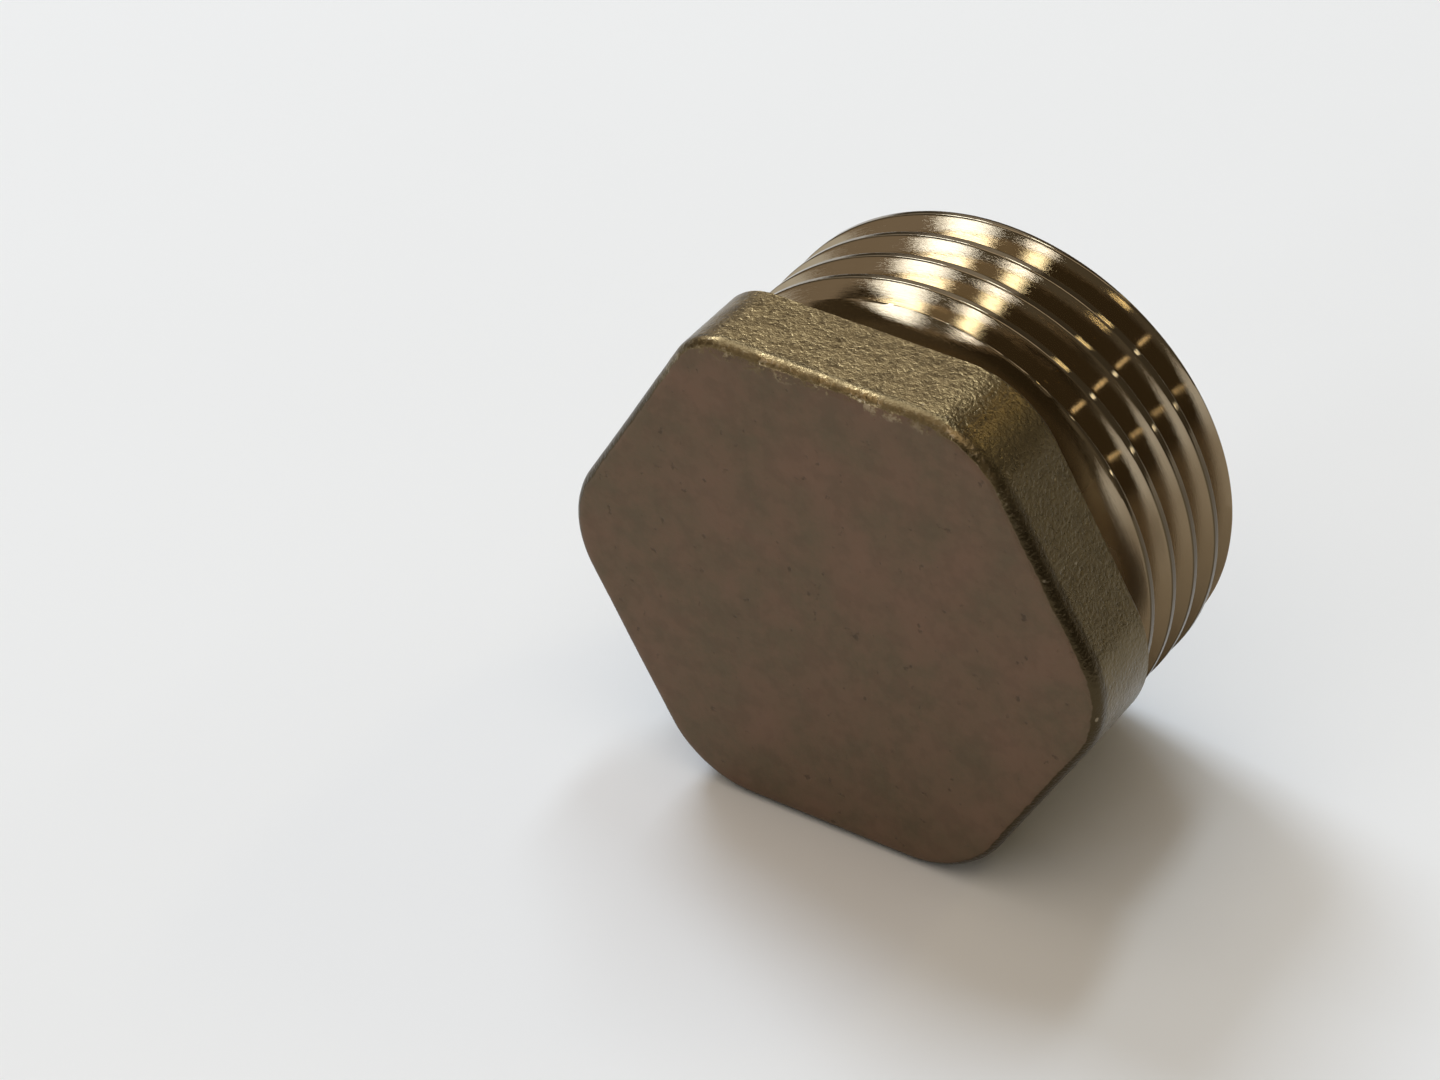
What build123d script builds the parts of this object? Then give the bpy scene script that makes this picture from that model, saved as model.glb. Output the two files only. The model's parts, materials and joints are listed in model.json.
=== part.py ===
from build123d import *

import os
from math import radians, tan

# Pipe plug: one brass forging with a hexagon head and a parallel pipe thread cut on its shank.
# Sizes are in millimetres and angles in degrees. The plug lies on a flat of its head, with its axis
# along +Y from the head's front face to the thread's open end. The origin is on the axis, in the
# plane of the shoulder behind the head.

# Thread: the 3/8 size of the parallel pipe thread, 19 turns to the inch, right-handed
THREAD_DIAMETER = 16.662
THREAD_PITCH = 1.337
THREAD_ANGLE = 55.0
THREAD_LENGTH = 7.4
FIRST_CREST = 1.7
END_CHAMFER = 0.6
END_SLOPE = 45.0

# Neck that the thread runs out into, beside the head
NECK_WIDTH = 1.0
NECK_SLOPE = 60.0
ROOT_CLEARANCE = 0.1

# Hexagon head
ACROSS_FLATS = 17.0
HEAD_HEIGHT = 3.3
CORNER_RADIUS = 3.6
FRONT_EDGE_RADIUS = 0.45
BACK_EDGE_CHAMFER = 0.2

# Forged recess in the thread's end
RECESS_WALL = 2.2
RECESS_DRAFT = 3.0
RECESS_CORNER_RADIUS = 1.5
RECESS_MOUTH_CHAMFER = 0.3
FLOOR_THICKNESS = 3.8

# How far the cutters that trim the shank and clear the recess's mouth pass the metal
CUTTER_CLEARANCE = 0.3

# Thread form: flanks of a sharp triangle, cut off flat at the crest and at the root by a sixth of its
# height each
flank_angle = radians(THREAD_ANGLE / 2)
sharp_height = THREAD_PITCH / (2 * tan(flank_angle))
cut_off = sharp_height / 6
thread_depth = sharp_height - 2 * cut_off
root_half_width = cut_off * tan(flank_angle)

crest_radius = THREAD_DIAMETER / 2
root_radius = crest_radius - thread_depth
neck_radius = root_radius - ROOT_CLEARANCE
trim_radius = crest_radius + CUTTER_CLEARANCE


def groove_section():
    """Section of the thread's groove, radius across and axis upwards, open past the crests."""
    mouth_radius = crest_radius + cut_off / 2
    mouth_half_width = root_half_width + (mouth_radius - root_radius) * tan(flank_angle)
    outline = Polyline(
        (mouth_radius, -mouth_half_width),
        (root_radius, -root_half_width),
        (root_radius, root_half_width),
        (mouth_radius, mouth_half_width),
        close=True,
    )
    return make_face(outline)


def thread_groove():
    """Groove of the thread, from the middle of the neck to a pitch past the open end."""
    start = NECK_WIDTH / 2
    start_turn = 360 * ((start - FIRST_CREST) / THREAD_PITCH + 0.5)
    length = THREAD_LENGTH + THREAD_PITCH - start
    groove = sweep(
        Plane.XZ * groove_section(),
        path=Helix(THREAD_PITCH, length, crest_radius),
        is_frenet=True,
    )
    return Pos(0, 0, start) * Rot(0, 0, start_turn) * groove


def threaded_rod():
    """Plain rod with the groove cut in it, longer at both ends than the shank that it gives."""
    overhang = 2 * THREAD_PITCH
    rod = extrude(Circle(crest_radius), THREAD_LENGTH + 2 * overhang)
    return Pos(0, 0, -overhang) * rod - thread_groove()


def turned_blank():
    """Round envelope of the shank: the neck, its slope up to the crests, and the end's chamfer."""
    slope_length = (trim_radius - neck_radius) / tan(radians(NECK_SLOPE))
    end_radius = crest_radius - END_CHAMFER
    chamfer_length = (trim_radius - end_radius) / tan(radians(END_SLOPE))
    outline = Polyline(
        (0, 0),
        (neck_radius, 0),
        (neck_radius, NECK_WIDTH),
        (trim_radius, NECK_WIDTH + slope_length),
        (trim_radius, THREAD_LENGTH - chamfer_length),
        (end_radius, THREAD_LENGTH),
        (0, THREAD_LENGTH),
        close=True,
    )
    return revolve(Plane.XZ * make_face(outline), Axis.Z)


def hexagon_head():
    """Forged head, with rounded corners, a round front edge and a small chamfer behind."""
    hexagon = RegularPolygon(ACROSS_FLATS / 2, side_count=6, major_radius=False)
    rounded = fillet(hexagon.vertices(), CORNER_RADIUS)
    head = extrude(rounded, -HEAD_HEIGHT)
    head = fillet(head.edges().group_by(Axis.Z)[0], FRONT_EDGE_RADIUS)
    return chamfer(head.edges().group_by(Axis.Z)[-1], BACK_EDGE_CHAMFER)


def recess():
    """Space of the blind recess: a drafted wall, a rounded floor corner and a chamfered mouth."""
    floor = FLOOR_THICKNESS - HEAD_HEIGHT
    mouth_radius = root_radius - RECESS_WALL
    floor_radius = mouth_radius - (THREAD_LENGTH - floor) * tan(radians(RECESS_DRAFT))
    past_end = RECESS_MOUTH_CHAMFER + CUTTER_CLEARANCE
    outline = Polyline(
        (0, floor),
        (floor_radius, floor),
        (mouth_radius, THREAD_LENGTH - RECESS_MOUTH_CHAMFER),
        (mouth_radius + past_end, THREAD_LENGTH + CUTTER_CLEARANCE),
        (0, THREAD_LENGTH + CUTTER_CLEARANCE),
        close=True,
    )
    profile = make_face(outline)
    corner = profile.vertices().group_by(Axis.Y)[0].sort_by(Axis.X)[-1]
    return revolve(Plane.XZ * fillet(corner, RECESS_CORNER_RADIUS), Axis.Z)


def pipe_plug():
    """The whole plug, built along Z and then laid along +Y with a flat of the head underneath."""
    upright = hexagon_head() + (turned_blank() & threaded_rod()) - recess()
    return Plane(origin=(0, 0, 0), x_dir=(1, 0, 0), z_dir=(0, 1, 0)) * upright


os.makedirs("parts", exist_ok=True)
export_step(pipe_plug(), "parts/pipe_plug.step")
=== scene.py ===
import json
from collections import namedtuple
from math import atan, cos, pi, radians, sin, sqrt, tan

import bmesh
import bpy
from bpy.props import FloatProperty, FloatVectorProperty, IntProperty, PointerProperty
from mathutils import Matrix, Vector, noise


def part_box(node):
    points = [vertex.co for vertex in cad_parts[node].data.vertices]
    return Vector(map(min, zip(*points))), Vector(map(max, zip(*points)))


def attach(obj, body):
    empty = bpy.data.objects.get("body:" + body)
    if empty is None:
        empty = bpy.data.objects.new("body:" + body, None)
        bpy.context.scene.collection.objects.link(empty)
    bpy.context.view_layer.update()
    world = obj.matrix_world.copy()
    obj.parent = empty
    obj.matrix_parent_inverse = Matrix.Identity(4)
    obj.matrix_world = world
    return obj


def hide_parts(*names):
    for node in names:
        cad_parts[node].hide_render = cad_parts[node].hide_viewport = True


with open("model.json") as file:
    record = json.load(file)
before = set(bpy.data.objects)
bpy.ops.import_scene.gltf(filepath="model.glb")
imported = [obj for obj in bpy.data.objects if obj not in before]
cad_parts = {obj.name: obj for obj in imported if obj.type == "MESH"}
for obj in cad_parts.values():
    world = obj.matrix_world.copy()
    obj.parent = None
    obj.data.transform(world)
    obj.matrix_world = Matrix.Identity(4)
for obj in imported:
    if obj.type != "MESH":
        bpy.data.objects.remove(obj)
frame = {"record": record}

bl_info = {
    "name": "Pipe plug",
    "version": (1, 0, 0),
    "blender": (4, 5, 0),
    "location": "3D View > Sidebar > Pipe plug",
    "description": "Brass pipe plug with a hexagon head and a parallel thread, on a pale floor",
    "category": "Object",
}

# Every length is in metres. The plug's axis runs along +Y, from the head's front face through the
# origin, in the plane of the shoulder, to the thread's open end. An angle round the axis starts at +X
# and turns towards -Z, the way that the thread's crests climb along +Y.
MM = 0.001
TURN = 2 * pi
HEXAGON_STEP = radians(60)
HALF_STEP = HEXAGON_STEP / 2

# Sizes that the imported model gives
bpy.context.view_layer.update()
LOWEST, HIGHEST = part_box("pipe_plug")
PIPE_THREAD = next(mount for mount in frame["record"]["mounts"] if mount["name"] == "pipe_thread")
HALF_FLATS = HIGHEST.z
CORNER_REACH = HIGHEST.x
CORNER_RADIUS = (HALF_FLATS / cos(HALF_STEP) - CORNER_REACH) / (1 / cos(HALF_STEP) - 1)

# Corner of the head, counted round the axis from +X, that is less rounded than the others
SHARP_CORNER = 4

# Material slots of the plug's mesh, in the order of their numbers
FORGED_HEAD, TURNED_SHANK, FORGED_RECESS = range(3)

# Rings of points over each stretch of the plug, from the front face to the recess's floor
FACE_RINGS = 40
FRONT_EDGE_RINGS = 9
FLAT_RINGS = 20
SHOULDER_RINGS = 6
NECK_RINGS = 7
END_FACE_RINGS = 8
MOUTH_RINGS = 3
WALL_RINGS = 12
FLOOR_CORNER_RINGS = 10
FLOOR_RINGS = 10

# Rows of points on a half turn of the thread: places near the crest, with the crest's half width as 1,
# and even parts of the flank and of the round root
NEAR_CREST = (0.5, 0.75, 0.9, 1.0, 1.1, 1.25, 1.5)
FLANK_ROWS = 4
ROOT_ROWS = 4

# Whole turns that the thread's rows start before the first crest and go on past the last one, so that
# they reach beyond the neck and the open end at every angle
TURNS_BEFORE = 3
TURNS_AFTER = 2

# Dents of the forged skin: how many there are in a millimetre and their shares of the depth, the shift
# that keeps the two patterns apart, and how much shallower they are on the front face
BROAD_DENTS, FINE_DENTS = 0.35, 1.7
MEAN_SHARE, BROAD_SHARE, FINE_SHARE = 0.5, 0.35, 0.15
FINE_SHIFT = Vector((9.0, 4.0, 2.0))
FACE_CALM = 0.7

# Faces that meet at this angle or more have a sharp edge between them
CREASE_ANGLE = radians(28)

# Scale of the turning lines' pattern across the axis, so small that the lines are drawn out round it
LINE_STRETCH = 0.03

# Points round the floor's edge, and the nearest distance that the camera draws
FLOOR_SEGMENTS = 96
CLIP_START = 10 * MM


def length(name, default, description):
    return FloatProperty(
        name=name, description=description, default=default, unit="LENGTH", precision=5
    )


def angle(name, degrees, description):
    return FloatProperty(name=name, description=description, default=radians(degrees), subtype="ANGLE")


def colour(name, default, description):
    return FloatVectorProperty(
        name=name, description=description, default=default, subtype="COLOR", size=3, min=0, max=1
    )


class ThreadSize(bpy.types.PropertyGroup):
    """Sizes of the shank: the neck beside the head, the thread and the chamfered end"""

    crest_radius: length(
        "Crest radius", PIPE_THREAD["dims"]["r_mm"] * MM, "Radius over the thread's crests"
    )
    pitch: length("Pitch", 1.337 * MM, "Distance from one crest to the next")
    flank_angle: angle("Flank angle", 55, "Angle between the two flanks of a turn")
    length: length("Length", HIGHEST.y, "From the shoulder to the open end")
    first_crest: length("First crest", 1.7 * MM, "Where a crest crosses +X, from the shoulder")
    crest_edge: length("Crest edge", 0.05 * MM, "Width over which a crest's edges are rounded")
    end_chamfer: length("End chamfer", 0.6 * MM, "How much the end's chamfer takes off the crest radius")
    end_slope: angle("End slope", 45, "Slope of the end's chamfer to the axis")
    neck_width: length("Neck width", 1.0 * MM, "Plain neck between the shoulder and the first slope")
    neck_slope: angle("Neck slope", 60, "Slope from the neck up to the crests, to the axis")
    root_clearance: length("Root clearance", 0.1 * MM, "How far the neck lies below the thread's root")


class HeadSize(bpy.types.PropertyGroup):
    """Sizes of the hexagon head"""

    half_flats: length("Half across flats", HALF_FLATS, "From the axis to a flat")
    height: length("Height", -LOWEST.y, "From the shoulder to the front face")
    corner_radius: length("Corner radius", CORNER_RADIUS, "Round on the hexagon's corners")
    sharp_radius: length("Sharp corner radius", 2.0 * MM, "Round on the corner that the die filled best")
    front_edge: length("Front edge radius", 0.45 * MM, "Round between the front face and the flats")
    back_edge: length("Back edge chamfer", 0.2 * MM, "Chamfer between the flats and the shoulder")
    unevenness: length("Unevenness", 0.05 * MM, "How far the forged skin dips below its true form")


class RecessSize(bpy.types.PropertyGroup):
    """Sizes of the recess in the thread's end"""

    wall: length("Wall", 2.2 * MM, "Metal between the thread's root and the recess's mouth")
    draft: angle("Draft", 3, "Slope of the recess's wall")
    corner_radius: length("Corner radius", 1.5 * MM, "Round between the wall and the floor")
    mouth_chamfer: length("Mouth chamfer", 0.3 * MM, "Chamfer of the mouth")
    floor: length("Floor", 0.5 * MM, "From the shoulder to the recess's floor")


class BrassFinish(bpy.types.PropertyGroup):
    """Colours and patterns of the brass as it was forged, blasted and turned"""

    turned: colour("Turned brass", (0.42, 0.345, 0.24), "Bright metal of the neck, thread and end")
    # Painted shade: turned metal painted darker low down on one side
    turned_shaded_side: colour("Stained brass", (0.27, 0.20, 0.12), "Turned metal low down on one side")
    # Also painted into the thread's roots as shade
    turned_dull_and_shade: colour("Dulled brass", (0.38, 0.305, 0.20), "Turned metal where it has dulled")
    blasted: colour("Blasted brass", (0.25, 0.180, 0.087), "Grit-blasted sides of the head")
    blasted_low: colour("Blasted hollows", (0.135, 0.095, 0.045), "Hollows between the blasted grains")
    # Painted shade: the sides below the top flat are painted in this darker colour
    dulled_and_shaded: colour("Dulled sides", (0.105, 0.082, 0.043), "Blasted sides that dulled below the top flat")
    # Painted shade: dark colour painted on the front edge and on the thread's crests
    painted_edge_shade: colour("Rim", (0.060, 0.044, 0.023), "Dark skin left on the front edge and on the crests")
    pressed: colour("Pressed skin", (0.175, 0.115, 0.072), "Dull skin of the front face")
    pressed_red: colour("Reddish skin", (0.187, 0.115, 0.074), "Warm patches of the front face")
    pressed_green: colour("Greenish skin", (0.140, 0.103, 0.062), "Cool patches of the front face")
    pit: colour("Pits", (0.080, 0.057, 0.037), "Small dark pits in the forged skin")
    grain: length("Grain", 0.14 * MM, "Size of the blasted grains")
    coarse: length("Coarse grain", 0.5 * MM, "Size of the clumps that the grains form")
    ragged: length("Ragged edge", 0.45 * MM, "Size of the bites in the edge of the face's skin")
    mottle: length("Mottle", 0.6 * MM, "Size of the greenish patches of the front face")
    clouds: length("Clouds", 2.6 * MM, "Size of the reddish patches of the front face")
    pit_size: length("Pit size", 0.38 * MM, "Size of the pits in the front face")
    nick_size: length("Nick size", 0.42 * MM, "Size of the bright nicks in the sides")
    # Size of the patches painted darker as shade on the top front round
    gap_size: length("Gap size", 1.1 * MM, "Size of the gaps in the worn front edge")
    head_relief: length("Head relief", 0.028 * MM, "Depth of the blasted grains")
    turning: length("Turning lines", 0.025 * MM, "Distance between the lines that the tool left")
    turning_relief: length("Turning relief", 0.0016 * MM, "Depth of the turning lines")
    turned_clouds: length("Turned clouds", 1.8 * MM, "Size of the dulled patches of the turned metal")
    recess_grain: length("Recess grain", 0.25 * MM, "Size of the grains in the recess")
    recess_relief: length("Recess relief", 0.02 * MM, "Depth of the grains in the recess")
    scale_size: length("Scale size", 0.9 * MM, "Size of the patches of scale in the recess")


class StageLook(bpy.types.PropertyGroup):
    """Floor, light and camera"""

    floor: colour("Floor", (0.88, 0.88, 0.88), "Pale floor")
    floor_radius: length("Floor radius", 1.2, "From the plug to the floor's edge")
    floor_clouds: length("Floor clouds", 30 * MM, "Size of the faint patches of the floor")
    floor_grain: length("Floor grain", 0.6 * MM, "Size of the floor's grain")
    floor_relief: length("Floor relief", 0.005 * MM, "Depth of the floor's grain")
    horizon: colour("Room", (0.13, 0.11, 0.08), "Dim room round the plug")
    view_from: FloatVectorProperty(
        name="View from",
        description="Place of the camera",
        default=(59.62 * MM, -99.47 * MM, 89.55 * MM),
        subtype="TRANSLATION",
        unit="LENGTH",
    )
    view_to: FloatVectorProperty(
        name="View to",
        description="Point in the middle of the picture",
        default=(-4.85 * MM, -1.74 * MM, -0.15 * MM),
        subtype="TRANSLATION",
        unit="LENGTH",
    )
    roll: angle("Roll", -0.99, "Turn of the camera about its own axis")
    lens: FloatProperty(name="Lens", description="Focal length in millimetres", default=120.4)


class PipePlugSettings(bpy.types.PropertyGroup):
    """All the sizes, colours and places that the plug and its stage are made from"""

    columns: IntProperty(name="Columns", description="Points round the axis", default=360, min=48)
    thread: PointerProperty(type=ThreadSize)
    head: PointerProperty(type=HeadSize)
    recess: PointerProperty(type=RecessSize)
    finish: PointerProperty(type=BrassFinish)
    stage: PointerProperty(type=StageLook)


def steps(count):
    """Even parts of a whole, after its start and up to its end."""
    return [(step + 1) / count for step in range(count)]


def smooth_min(first, second, width):
    """The smaller of two lengths, with the change from one to the other rounded over a width."""
    overlap = max(width - abs(first - second), 0.0) / width
    return min(first, second) - overlap * overlap * width / 4


class ShankSurface:
    """Radius of the shank at any angle round the axis and any distance along it."""

    def __init__(self, thread):
        self.thread = thread
        self.half_angle = thread.flank_angle / 2
        # The flanks' sharp triangle loses a sixth of its height at the flat crest and at the round root
        sharp_height = thread.pitch / (2 * tan(self.half_angle))
        cut_off = sharp_height / 6
        self.crest_half_width = cut_off * tan(self.half_angle)
        self.root_radius = thread.crest_radius - sharp_height + 2 * cut_off
        self.root_round = cut_off / (1 / sin(self.half_angle) - 1)
        self.neck_radius = self.root_radius - thread.root_clearance
        self.end_radius = thread.crest_radius - thread.end_chamfer

    def thread_form(self, from_crest):
        """Radius of a turn at a distance from the middle of its crest."""
        crest_radius = self.thread.crest_radius
        from_root = self.thread.pitch / 2 - from_crest
        if from_root < self.root_round * cos(self.half_angle):
            rise = self.root_round - sqrt(self.root_round**2 - from_root**2)
            return self.root_radius + rise
        flank = crest_radius - (from_crest - self.crest_half_width) / tan(self.half_angle)
        return smooth_min(flank, crest_radius, self.thread.crest_edge)

    def radius(self, turned, along):
        thread = self.thread
        half_pitch = thread.pitch / 2
        lead = along - thread.first_crest - thread.pitch * turned / TURN
        form = self.thread_form(abs((lead + half_pitch) % thread.pitch - half_pitch))
        slope = self.neck_radius + (along - thread.neck_width) * tan(thread.neck_slope)
        chamfer = self.end_radius + (thread.length - along) * tan(thread.end_slope)
        return smooth_min(smooth_min(form, slope, thread.crest_edge), chamfer, thread.crest_edge)

    def stations(self):
        """Places of the mesh's rows over one pitch from the middle of a crest, close at its rounds."""
        pitch = self.thread.pitch
        root_reach = self.root_round * cos(self.half_angle)
        half = [self.crest_half_width * part for part in NEAR_CREST]
        flank_start = half[-1]
        flank = pitch / 2 - root_reach - flank_start
        half += [flank_start + flank * part for part in steps(FLANK_ROWS)]
        half += [pitch / 2 - root_reach * (1 - part) for part in steps(ROOT_ROWS)[:-1]]
        return [0.0, *half, pitch / 2, *(pitch - place for place in reversed(half))]


def hexagon_radius(head, turned, inset):
    """Distance from the axis to the head's rounded outline, drawn in by an inset all round."""
    half_flats = head.half_flats - inset
    nearest = int((turned + HALF_STEP) // HEXAGON_STEP) % 6
    corner = (head.sharp_radius if nearest == SHARP_CORNER else head.corner_radius) - inset
    from_flat = abs(turned % HEXAGON_STEP - HALF_STEP)
    flat_reach = (half_flats - corner) * tan(HALF_STEP)
    if from_flat < atan(flat_reach / half_flats):
        return half_flats / cos(from_flat)
    centre = (half_flats - corner) / cos(HALF_STEP)
    from_corner = HALF_STEP - from_flat
    return centre * cos(from_corner) + sqrt(corner**2 - (centre * sin(from_corner)) ** 2)


class PlugMesh:
    """Points and faces of the plug, added ring by ring from the front face to the recess's floor."""

    def __init__(self, columns):
        self.columns = columns
        self.points = []
        self.faces = []
        self.finishes = []

    def turned(self, column):
        """Angle of a column round the axis."""
        return TURN * column / self.columns

    def point(self, column, radius, along):
        turned = self.turned(column)
        self.points.append((radius * cos(turned), along, -radius * sin(turned)))
        return len(self.points) - 1

    def ring(self, radius_at, along):
        """Adds a point in every column, at a radius that depends on its angle."""
        return [
            self.point(column, radius_at(self.turned(column)), along) for column in range(self.columns)
        ]

    def circle(self, radius, along):
        return self.ring(lambda turned: radius, along)

    def face(self, corners, finish):
        """Adds a face, unless corners that fall together leave it no area."""
        distinct = [corner for index, corner in enumerate(corners) if corner != corners[index - 1]]
        if len(set(distinct)) > 2:
            self.faces.append(distinct)
            self.finishes.append(finish)

    def band(self, rings, finish):
        """Joins each ring of a list to the next."""
        for before, after in zip(rings, rings[1:]):
            for column in range(self.columns):
                beside = (column + 1) % self.columns
                corners = (before[column], before[beside], after[beside], after[column])
                self.face(corners, finish)

    def cap(self, ring, along, finish):
        """Closes a ring with a fan of triangles round a point on the axis."""
        middle = self.point(0, 0.0, along)
        for column in range(self.columns):
            self.face((ring[column], ring[(column + 1) % self.columns], middle), finish)


def add_head(mesh, head):
    """The front face, the round front edge, the flats and the back chamfer. Gives the last ring."""
    front = -head.height

    def outline(inset, part=1.0):
        return lambda turned: part * hexagon_radius(head, turned, inset)

    face = [mesh.ring(outline(head.front_edge, part), front) for part in steps(FACE_RINGS)]
    mesh.cap(face[0], front, FORGED_HEAD)
    edge = []
    for part in steps(FRONT_EDGE_RINGS):
        bend = part * pi / 2
        inset = head.front_edge * (1 - sin(bend))
        edge.append(mesh.ring(outline(inset), front + head.front_edge * (1 - cos(bend))))
    flat_start = front + head.front_edge
    flat_length = -head.back_edge - flat_start
    flats = [mesh.ring(outline(0.0), flat_start + flat_length * part) for part in steps(FLAT_RINGS)]
    back = mesh.ring(outline(head.back_edge), 0.0)
    mesh.band([*face, *edge, *flats, back], FORGED_HEAD)
    return back


def shank_ring(mesh, shank, along):
    """A ring on the shank's surface."""
    return mesh.ring(lambda turned: shank.radius(turned, along), along)


def add_shoulder(mesh, head, shank, back):
    """The turned shoulder and neck. Gives the ring where the neck meets the slope of the thread."""
    thread = shank.thread
    neck = shank.neck_radius

    def inward(part):
        def radius(turned):
            outer = hexagon_radius(head, turned, head.back_edge)
            return outer + (neck - outer) * part

        return radius

    shoulder = [mesh.ring(inward(part), 0.0) for part in steps(SHOULDER_RINGS)]
    plain = [mesh.circle(neck, thread.neck_width * part) for part in steps(NECK_RINGS)[:-1]]
    start = shank_ring(mesh, shank, thread.neck_width)
    mesh.band([back, *shoulder, *plain, start], TURNED_SHANK)
    return start


def add_thread(mesh, shank, start):
    """The thread, in rows that climb along its helix. Gives the ring round the open end."""
    thread = shank.thread
    end = shank_ring(mesh, shank, thread.length)
    stations = shank.stations()
    made = {}

    def corner(column, row):
        if column == mesh.columns:
            column, row = 0, row + len(stations)
        if (column, row) not in made:
            pitches = row // len(stations) - TURNS_BEFORE + column / mesh.columns
            along = thread.first_crest + stations[row % len(stations)] + thread.pitch * pitches
            if along <= thread.neck_width:
                made[column, row] = start[column]
            elif along >= thread.length:
                made[column, row] = end[column]
            else:
                radius = shank.radius(mesh.turned(column), along)
                made[column, row] = mesh.point(column, radius, along)
        return made[column, row]

    turns = TURNS_BEFORE + int((thread.length - thread.first_crest) / thread.pitch) + TURNS_AFTER
    for row in range(turns * len(stations)):
        for column in range(mesh.columns):
            corners = (
                corner(column, row),
                corner(column + 1, row),
                corner(column + 1, row + 1),
                corner(column, row + 1),
            )
            mesh.face(corners, TURNED_SHANK)
    return end


def add_end(mesh, shank, recess, end):
    """The turned end face with the chamfer of the recess's mouth, and the forged recess."""
    thread = shank.thread
    mouth = shank.root_radius - recess.wall
    depth = thread.length - recess.floor
    floor_radius = mouth - depth * tan(recess.draft)
    mouth_along = thread.length - recess.mouth_chamfer
    lip = mouth + recess.mouth_chamfer

    def inward(part):
        ring = []
        for column in range(mesh.columns):
            reach = Vector(mesh.points[end[column]]).xz.length
            ring.append(mesh.point(column, lip + (reach - lip) * (1 - part), thread.length))
        return ring

    face = [inward(part) for part in steps(END_FACE_RINGS)]
    chamfer = []
    for part in steps(MOUTH_RINGS):
        cut = recess.mouth_chamfer * part
        chamfer.append(mesh.circle(lip - cut, thread.length - cut))
    mesh.band([end, *face, *chamfer], TURNED_SHANK)

    lean = atan((mouth - floor_radius) / (mouth_along - recess.floor))
    bend = pi / 2 - lean
    corner = recess.corner_radius
    centre_along = recess.floor + corner
    centre = floor_radius + corner * tan(lean) - corner / cos(lean)
    wall_end = centre_along - corner * sin(lean)
    wall_radius = centre + corner * cos(lean)
    wall = []
    for part in steps(WALL_RINGS):
        radius = mouth + (wall_radius - mouth) * part
        wall.append(mesh.circle(radius, mouth_along + (wall_end - mouth_along) * part))
    round_corner = []
    for part in steps(FLOOR_CORNER_RINGS):
        turn = lean + bend * part
        round_corner.append(mesh.circle(centre + corner * cos(turn), centre_along - corner * sin(turn)))
    floor = [mesh.circle(centre * (1 - part), recess.floor) for part in steps(FLOOR_RINGS)[:-1]]
    mesh.band([chamfer[-1], *wall, *round_corner, *floor], FORGED_RECESS)
    mesh.cap(floor[-1], recess.floor, FORGED_RECESS)


def dent_forged_skin(body, head):
    """Lets the forged skin of the head dip a little below its true form, as a hot pressing does."""
    for vertex in body.verts:
        if vertex.co.y > -head.back_edge:
            continue
        place = vertex.co / MM
        broad = noise.noise(place * BROAD_DENTS)
        fine = noise.noise(place * FINE_DENTS + FINE_SHIFT)
        dip = MEAN_SHARE + BROAD_SHARE * broad + FINE_SHARE * fine
        dip *= 1 + FACE_CALM * min(vertex.normal.y, 0.0)
        vertex.co -= vertex.normal * head.unevenness * dip


def plug_mesh(settings):
    """One closed mesh of the whole plug."""
    shank = ShankSurface(settings.thread)
    mesh = PlugMesh(settings.columns)
    back = add_head(mesh, settings.head)
    start = add_shoulder(mesh, settings.head, shank, back)
    end = add_thread(mesh, shank, start)
    add_end(mesh, shank, settings.recess, end)

    data = bpy.data.meshes.new("plug_body")
    data.from_pydata(mesh.points, [], mesh.faces)
    data.polygons.foreach_set("material_index", mesh.finishes)
    body = bmesh.new()
    body.from_mesh(data)
    loose = [vertex for vertex in body.verts if not vertex.link_faces]
    bmesh.ops.delete(body, geom=loose, context="VERTS")
    bmesh.ops.recalc_face_normals(body, faces=body.faces)
    body.normal_update()
    dent_forged_skin(body, settings.head)
    for face in body.faces:
        face.smooth = True
    for edge in body.edges:
        if not edge.is_manifold:
            raise RuntimeError("the plug's mesh isn't closed")
        edge.smooth = edge.calc_face_angle() < CREASE_ANGLE
    body.to_mesh(data)
    body.free()
    return data


class Term:
    """A value in a material's nodes. Arithmetic on terms and numbers adds Math nodes."""

    def __init__(self, finish, socket):
        self.finish = finish
        self.socket = socket

    def out(self, name):
        """Another output of the same node."""
        return Term(self.finish, self.socket.node.outputs[name])

    def __add__(self, other):
        return self.finish.math("ADD", self, other)

    def __radd__(self, other):
        return self.finish.math("ADD", other, self)

    def __sub__(self, other):
        return self.finish.math("SUBTRACT", self, other)

    def __rsub__(self, other):
        return self.finish.math("SUBTRACT", other, self)

    def __mul__(self, other):
        return self.finish.math("MULTIPLY", self, other)

    def __rmul__(self, other):
        return self.finish.math("MULTIPLY", other, self)

    def __truediv__(self, other):
        return self.finish.math("DIVIDE", self, other)

    def __rtruediv__(self, other):
        return self.finish.math("DIVIDE", other, self)

    def __pow__(self, other):
        return self.finish.math("POWER", self, other)

    def __rpow__(self, other):
        return self.finish.math("POWER", other, self)


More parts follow.
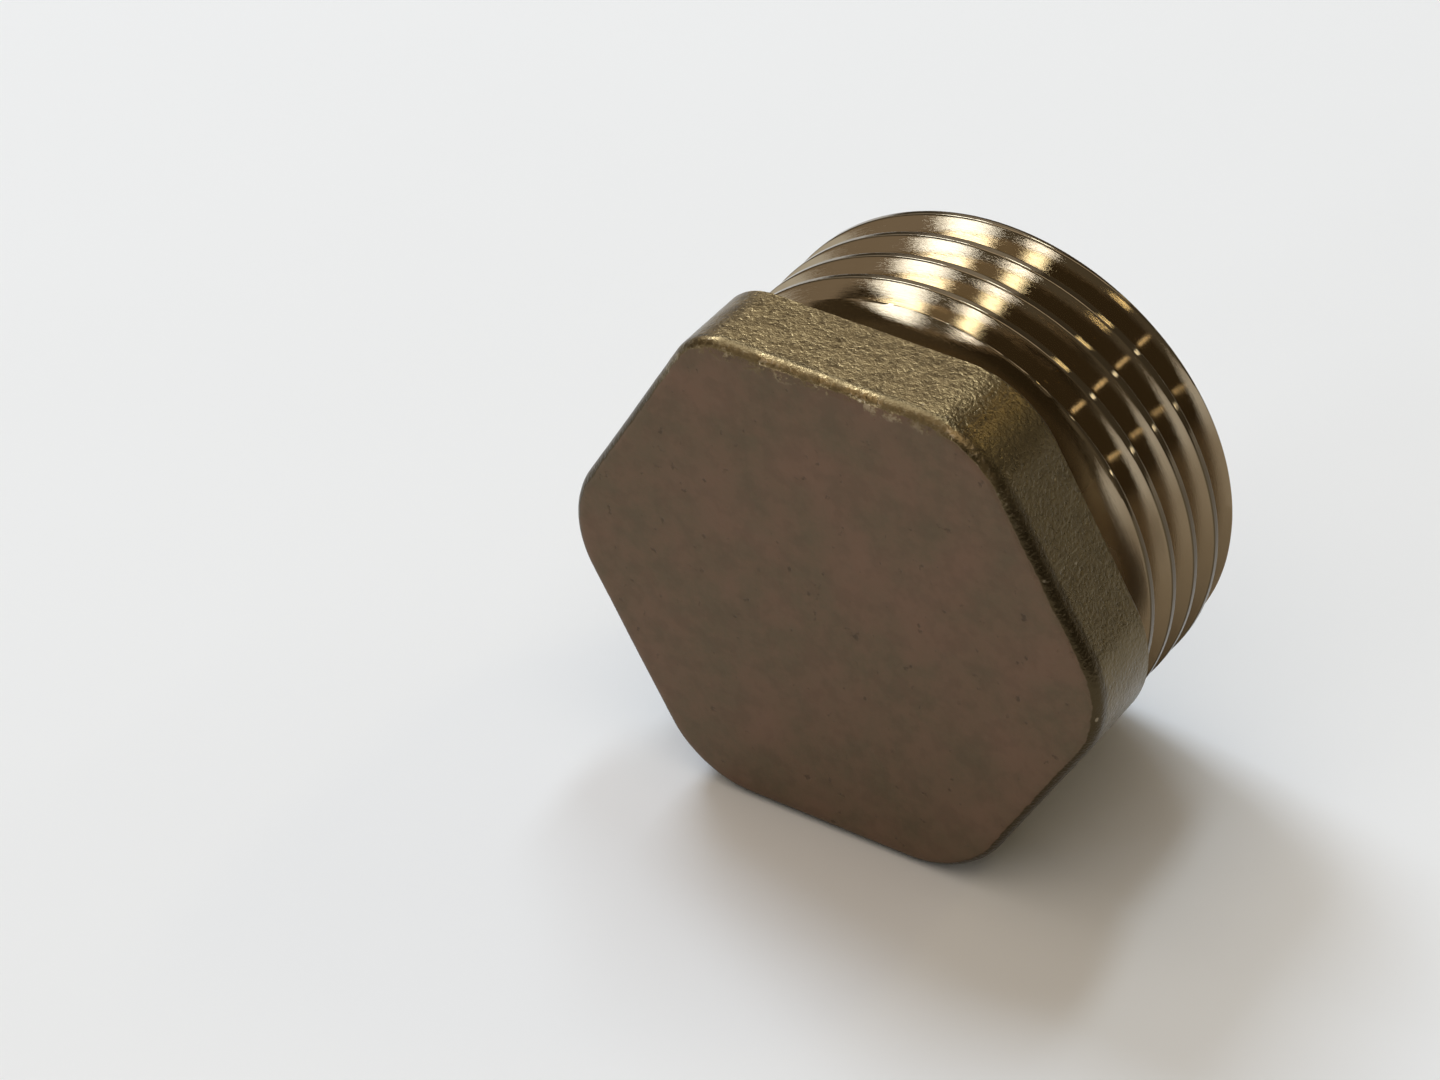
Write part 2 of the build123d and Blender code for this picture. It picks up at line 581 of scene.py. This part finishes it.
class Finish:
    """The nodes of one material or of the world."""

    def __init__(self, owner):
        owner.use_nodes = True
        self.tree = owner.node_tree
        self.tree.nodes.clear()

    def node(self, kind, settings=None, sockets=None, output=0):
        """Adds a node: its settings first, then the values or links of its sockets."""
        node = self.tree.nodes.new(kind)
        for name, value in (settings or {}).items():
            setattr(node, name, value)
        for name, value in (sockets or {}).items():
            if isinstance(value, Term):
                self.tree.links.new(value.socket, node.inputs[name])
            else:
                node.inputs[name].default_value = value
        return Term(self, node.outputs[output]) if node.outputs else None

    def math(self, operation, first, second):
        return self.node("ShaderNodeMath", {"operation": operation}, {0: first, 1: second})

    def place(self):
        """Where a point lies in its object's own frame."""
        return self.node("ShaderNodeTexCoord", output="Object")

    def axes(self, vector):
        """The X, Y and Z of a vector."""
        split = self.node("ShaderNodeSeparateXYZ", sockets={"Vector": vector})
        return split, split.out("Y"), split.out("Z")

    def noise(self, vector, size, detail=2.0, roughness=0.5):
        """Soft random pattern from 0 to 1, with features of a given size."""
        sockets = {"Vector": vector, "Scale": 1 / size, "Detail": detail, "Roughness": roughness}
        return self.node("ShaderNodeTexNoise", sockets=sockets)

    def fade(self, value, start, end):
        """0 up to the start, 1 from the end on, and a smooth change between them."""
        sockets = {"Value": value, "From Min": start, "From Max": end}
        return self.node("ShaderNodeMapRange", {"interpolation_type": "SMOOTHSTEP"}, sockets)

    def mix(self, part, first, second):
        """A colour between two others."""
        ends = {
            socket: value if isinstance(value, Term) else (*value, 1.0)
            for socket, value in ((6, first), (7, second))
        }
        return self.node("ShaderNodeMix", {"data_type": "RGBA"}, {0: part, **ends}, output=2)

    def surface(self, sockets, relief, depth):
        """Ends a material in one shader, with a relief of a given depth in its surface."""
        bump = self.node(
            "ShaderNodeBump", sockets={"Height": relief, "Distance": depth, "Strength": 1.0}
        )
        shader = self.node("ShaderNodeBsdfPrincipled", sockets={**sockets, "Normal": bump})
        self.node("ShaderNodeOutputMaterial", sockets={"Surface": shader})


def head_finish(brass, head):
    """Forged head: a dull pressed front face and grit-blasted sides, bright where the edge is worn."""
    material = bpy.data.materials.new("forged_head")
    finish = Finish(material)
    place = finish.place()
    along, up = finish.axes(place)[1:]

    # How far a point lies behind the front face, with the radius of the front edge as 1
    from_face = (along + head.height) / head.front_edge
    grain = finish.noise(place, brass.grain, detail=2.0, roughness=0.6)
    coarse = finish.noise(place, brass.coarse, detail=2.0)
    ragged = finish.noise(place, brass.ragged, detail=3.0)
    chipped = ragged * 0.4 + grain * 0.6

    # 0 on the front face and 1 on the sides. Along the top edge the skin of the face is chipped off.
    side = finish.fade(from_face + (ragged - 0.5) * 0.18, 0.10, 0.16)
    uneven_up = up + (coarse - 0.5) * (0.6 * MM)
    top_edge = finish.fade(uneven_up, head.half_flats - 0.58 * MM, head.half_flats - 0.40 * MM)
    bared = top_edge * finish.fade(chipped, 0.48, 0.56)
    side = side + (1 - side) * bared * 0.7

    mottle = finish.noise(place, brass.mottle, detail=4.0, roughness=0.65)
    clouds = finish.noise(place, brass.clouds, detail=4.0)
    pits = finish.fade(finish.noise(place, brass.pit_size, detail=3.0), 0.66, 0.76)
    specks = 1 - finish.fade(coarse, 0.32, 0.60)
    skin = finish.mix(finish.fade(mottle, 0.28, 0.72), brass.pressed_green, brass.pressed)
    skin = finish.mix(finish.fade(clouds, 0.38, 0.72), skin, brass.pressed_red)
    skin = finish.mix(pits * 0.6 + specks * 0.18, skin, brass.pit)

    # Painted shade: the sides below the top flat are painted darker, and the front edge is painted dark,
    # in a band on the sides and a thin line on the top
    top = finish.fade(up, 0.62 * head.half_flats, 0.94 * head.half_flats)
    shaded_below_top = 1 - finish.fade(up, 0.90 * head.half_flats, 0.985 * head.half_flats)
    uneven_face = from_face + (coarse - 0.5) * 0.5
    on_rim = 1 - finish.fade(uneven_face, 1.10, 1.60)
    rim_line = finish.fade(uneven_face, 0.75, 0.90) * (1 - finish.fade(uneven_face, 1.00, 1.20))
    dark = on_rim * (1 - top) * 0.9 + rim_line * top * 0.55
    hollows = finish.fade(grain * 0.6 + coarse * 0.4, 0.34, 0.60)
    blasted = finish.mix(hollows, brass.blasted_low, brass.blasted)
    blasted = finish.mix(shaded_below_top * 0.8, blasted, brass.dulled_and_shaded)
    blasted = finish.mix(dark, blasted, brass.painted_edge_shade)

    # The front edge of the top flat is worn bright, with gaps, and the sides have small bright nicks.
    # Patches of the top front round are painted darker as shade, breaking its highlight
    worn = (1 - finish.fade(from_face, 0.30, 0.75)) * finish.fade(chipped, 0.50, 0.62)
    nicks = finish.fade(finish.noise(place, brass.nick_size, detail=1.0), 0.74, 0.80)
    on_round = (1 - finish.fade(from_face, 0.8, 1.1)) * top
    shaded_gaps = on_round * finish.fade(finish.noise(place, brass.gap_size, detail=3.0), 0.44, 0.58)
    blasted = finish.mix(worn * top * 0.5 + nicks * 0.5, blasted, brass.turned)
    blasted = finish.mix(shaded_gaps * 0.75, blasted, brass.blasted_low)

    face_roughness = 0.58 + 0.12 * mottle
    side_roughness = 0.22 + 0.16 * grain + 0.2 * shaded_gaps
    finish.surface(
        {
            "Base Color": finish.mix(side, skin, blasted),
            "Metallic": 0.72 + side * 0.28,
            "Roughness": face_roughness * (1 - side) + side_roughness * side,
        },
        relief=grain * (0.40 + side * 0.60) - pits * 0.35,
        depth=brass.head_relief,
    )
    return material


def shank_finish(brass, shank):
    """Turned metal: bright, with fine lines along the turns, and roots and one lower side painted darker
    as shade.
    """
    material = bpy.data.materials.new("turned_shank")
    finish = Finish(material)
    place = finish.place()
    across, along, up = finish.axes(place)
    radius = (across * across + up * up) ** 0.5
    crest_radius = shank.thread.crest_radius
    neck_width = shank.thread.neck_width

    stretch = finish.node(
        "ShaderNodeCombineXYZ",
        sockets={"X": across * LINE_STRETCH, "Y": along + radius, "Z": up * LINE_STRETCH},
    )
    lines = finish.noise(stretch, brass.turning, detail=3.0, roughness=0.6)
    cloudy = finish.noise(place, brass.turned_clouds, detail=3.0)

    # Painted shade: the thread's roots, where this mask is low, are painted darker
    raised = finish.fade(radius, shank.root_radius, shank.root_radius + 0.35 * MM)
    on_crest = finish.fade(radius, crest_radius - 0.05 * MM, crest_radius - 0.01 * MM)
    beside_head = 1 - finish.fade(along, 0.9 * neck_width, 1.1 * neck_width)
    dulled_and_shaded = finish.fade(cloudy * 0.5 + lines * 0.5, 0.40, 0.70) * 0.6
    # Painted shade: the metal low down on the +X side is painted darker and made rougher
    shaded_side = finish.fade(across - up + (cloudy - 0.5) * (2 * MM), 1.5 * MM, 5.5 * MM)
    metal = finish.mix(dulled_and_shaded, brass.turned, brass.turned_dull_and_shade)
    metal = finish.mix(shaded_side, metal, brass.turned_shaded_side)
    # Painted shade: the crests are painted dark, more on the side painted in shade, to dim their
    # highlights
    metal = finish.mix(on_crest * (0.5 + shaded_side * 0.35), metal, brass.painted_edge_shade)

    cut_roughness = 0.025 + lines * 0.03 + (1 - raised) * 0.04
    finish.surface(
        {
            "Base Color": finish.mix(raised * 0.6 + 0.4, brass.turned_dull_and_shade, metal),
            "Metallic": 1.0,
            "Roughness": cut_roughness + shaded_side * 0.22 + beside_head * 0.20,
        },
        relief=lines,
        depth=brass.turning_relief,
    )
    return material


def recess_finish(brass):
    """Forged recess: dull brass with dark scale left in patches."""
    material = bpy.data.materials.new("forged_recess")
    finish = Finish(material)
    place = finish.place()
    grain = finish.noise(place, brass.recess_grain, detail=3.0, roughness=0.6)
    scale = finish.noise(place, brass.scale_size, detail=4.0, roughness=0.6)
    metal = finish.mix(finish.fade(scale, 0.25, 0.80), brass.blasted_low, brass.blasted)
    finish.surface(
        {
            "Base Color": metal,
            "Metallic": 0.9,
            "Roughness": 0.40 + 0.15 * scale,
        },
        relief=grain,
        depth=brass.recess_relief,
    )
    return material


class PlugBody(bpy.types.Operator):
    """Make the plug: the forged head, the threaded shank and the recess as one closed mesh"""

    bl_idname = "object.pipe_plug_body"
    bl_label = "Plug body"

    def execute(self, context):
        settings = context.scene.pipe_plug
        body = bpy.data.objects.new("plug_body", plug_mesh(settings))
        context.scene.collection.objects.link(body)
        brass = settings.finish
        body.data.materials.append(head_finish(brass, settings.head))
        body.data.materials.append(shank_finish(brass, ShankSurface(settings.thread)))
        body.data.materials.append(recess_finish(brass))
        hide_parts("pipe_plug")
        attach(body, "root")
        return {"FINISHED"}


# A soft panel: its direction from the plug and its size as seen from there, in degrees, its distance,
# its brightness and its colour. Turned is the angle round the axis, in degrees, of the part of the thread
# that mirrors it: the panel's height lies along the streak that the turning lines draw its image into.
Panel = namedtuple("Panel", "name azimuth elevation wide high turned distance brightness colour")

PANELS = (
    Panel("top_panel", 0, 72, 60, 50, -90, 0.9, 1.05, (1.0, 0.89, 0.77)),
    Panel("back_wall", -122, 44, 64, 56, -96, 1.0, 0.5, (1.0, 0.95, 0.90)),
    Panel("back_window", -118, 48.5, 17, 18, -96, 0.8, 16.5, (0.75, 0.86, 1.0)),
    Panel("back_strip", -161, 63.5, 7, 22, -78, 0.8, 12.5, (0.78, 0.90, 1.0)),
    Panel("front_wall", -48, 9, 50, 20, -100, 0.9, 0.22, (1.0, 0.82, 0.68)),
    Panel("front_window", -29.5, 13, 11, 20, -95, 0.8, 4.0, (0.82, 0.90, 1.0)),
    Panel("front_strip", -13, 14, 4.5, 18, -75, 0.8, 4.5, (0.92, 0.95, 1.0)),
    Panel("warm_lamp", 150, 42, 5, 10, -56, 0.8, 6.0, (1.0, 0.85, 0.50)),
    Panel("warm_spot", 4, 7, 4, 9, -54, 0.8, 4.0, (1.0, 0.80, 0.42)),
    Panel("slit_lamp", 134, 34, 1.6, 24, -48, 0.8, 4.5, (1.0, 0.95, 0.80)),
    Panel("thin_lamp", 125, 14, 1.6, 24, -34, 0.8, 4.5, (1.0, 0.95, 0.80)),
)


def add_panel(panel, collection):
    """An area lamp that faces the plug."""
    azimuth, elevation = radians(panel.azimuth), radians(panel.elevation)
    away = Vector((sin(azimuth) * cos(elevation), -cos(azimuth) * cos(elevation), sin(elevation)))
    lamp = bpy.data.lights.new(panel.name, "AREA")
    lamp.shape = "RECTANGLE"
    lamp.size = 2 * panel.distance * tan(radians(panel.wide) / 2)
    lamp.size_y = 2 * panel.distance * tan(radians(panel.high) / 2)
    lamp.energy = panel.brightness * pi * lamp.size * lamp.size_y
    lamp.color = panel.colour
    place = bpy.data.objects.new(panel.name, lamp)
    place.location = away * panel.distance
    place.visible_camera = False
    turned = radians(panel.turned)
    tangent = Vector((-sin(turned), 0, -cos(turned)))
    upward = tangent.cross(away).normalized()
    place.rotation_euler = Matrix((upward.cross(away), upward, away)).transposed().to_euler()
    collection.objects.link(place)


def floor_finish(stage):
    """Pale matt floor with a faint unevenness."""
    material = bpy.data.materials.new("pale_floor")
    finish = Finish(material)
    place = finish.place()
    soft = finish.noise(place, stage.floor_clouds, detail=3.0)
    darker = [0.97 * part for part in stage.floor]
    finish.surface(
        {
            "Base Color": finish.mix(soft, stage.floor, darker),
            "Roughness": 0.75 + 0.1 * soft,
            "Specular IOR Level": 0.2,
        },
        relief=finish.noise(place, stage.floor_grain, detail=2.0),
        depth=stage.floor_relief,
    )
    return material


def add_floor(stage, collection):
    """A round floor under the plug's lowest flat."""
    data = bpy.data.meshes.new("floor")
    disc = bmesh.new()
    bmesh.ops.create_circle(disc, cap_ends=True, segments=FLOOR_SEGMENTS, radius=stage.floor_radius)
    disc.to_mesh(data)
    disc.free()
    floor = bpy.data.objects.new("floor", data)
    floor.location.z = LOWEST.z
    floor.data.materials.append(floor_finish(stage))
    collection.objects.link(floor)


def light_room(stage, scene):
    """A dim room round the panels."""
    world = bpy.data.worlds.new("studio")
    scene.world = world
    finish = Finish(world)
    background = finish.node("ShaderNodeBackground", sockets={"Color": (*stage.horizon, 1.0)})
    finish.node("ShaderNodeOutputWorld", sockets={"Surface": background})


def add_camera(stage, scene):
    """The camera, from the front, above and to the right of the plug."""
    data = bpy.data.cameras.new("camera")
    data.lens = stage.lens
    data.clip_start = CLIP_START
    camera = bpy.data.objects.new("camera", data)
    view_from = Vector(stage.view_from)
    forward = Vector(stage.view_to) - view_from
    turn = forward.to_track_quat("-Z", "Y").to_matrix() @ Matrix.Rotation(stage.roll, 3, "Z")
    camera.matrix_world = Matrix.Translation(view_from) @ turn.to_4x4()
    scene.collection.objects.link(camera)
    scene.camera = camera


class PlugStage(bpy.types.Operator):
    """Make the pale floor, the soft light and the camera"""

    bl_idname = "object.pipe_plug_stage"
    bl_label = "Stage"

    def execute(self, context):
        scene = context.scene
        stage = scene.pipe_plug.stage
        add_floor(stage, scene.collection)
        light_room(stage, scene)
        for panel in PANELS:
            add_panel(panel, scene.collection)
        add_camera(stage, scene)
        scene.view_settings.view_transform = "Standard"
        return {"FINISHED"}


class PlugPanel(bpy.types.Panel):
    """Sizes, colours and buttons of the plug"""

    bl_idname = "VIEW3D_PT_pipe_plug"
    bl_label = "Pipe plug"
    bl_space_type = "VIEW_3D"
    bl_region_type = "UI"
    bl_category = "Pipe plug"

    def draw(self, context):
        settings = context.scene.pipe_plug
        self.layout.prop(settings, "columns")
        for group in (settings.thread, settings.head, settings.recess, settings.finish, settings.stage):
            box = self.layout.box()
            for name in group.__annotations__:
                box.prop(group, name)
        for operator in OPERATORS:
            self.layout.operator(operator.bl_idname)


OPERATORS = (PlugBody, PlugStage)
GROUPS = (ThreadSize, HeadSize, RecessSize, BrassFinish, StageLook, PipePlugSettings)


def register():
    for entry in (*GROUPS, *OPERATORS, PlugPanel):
        bpy.utils.register_class(entry)
    bpy.types.Scene.pipe_plug = PointerProperty(type=PipePlugSettings)


def unregister():
    del bpy.types.Scene.pipe_plug
    for entry in reversed((*GROUPS, *OPERATORS, PlugPanel)):
        bpy.utils.unregister_class(entry)


def main():
    register()
    bpy.ops.object.pipe_plug_body()
    bpy.ops.object.pipe_plug_stage()


if __name__ == "__main__":
    main()
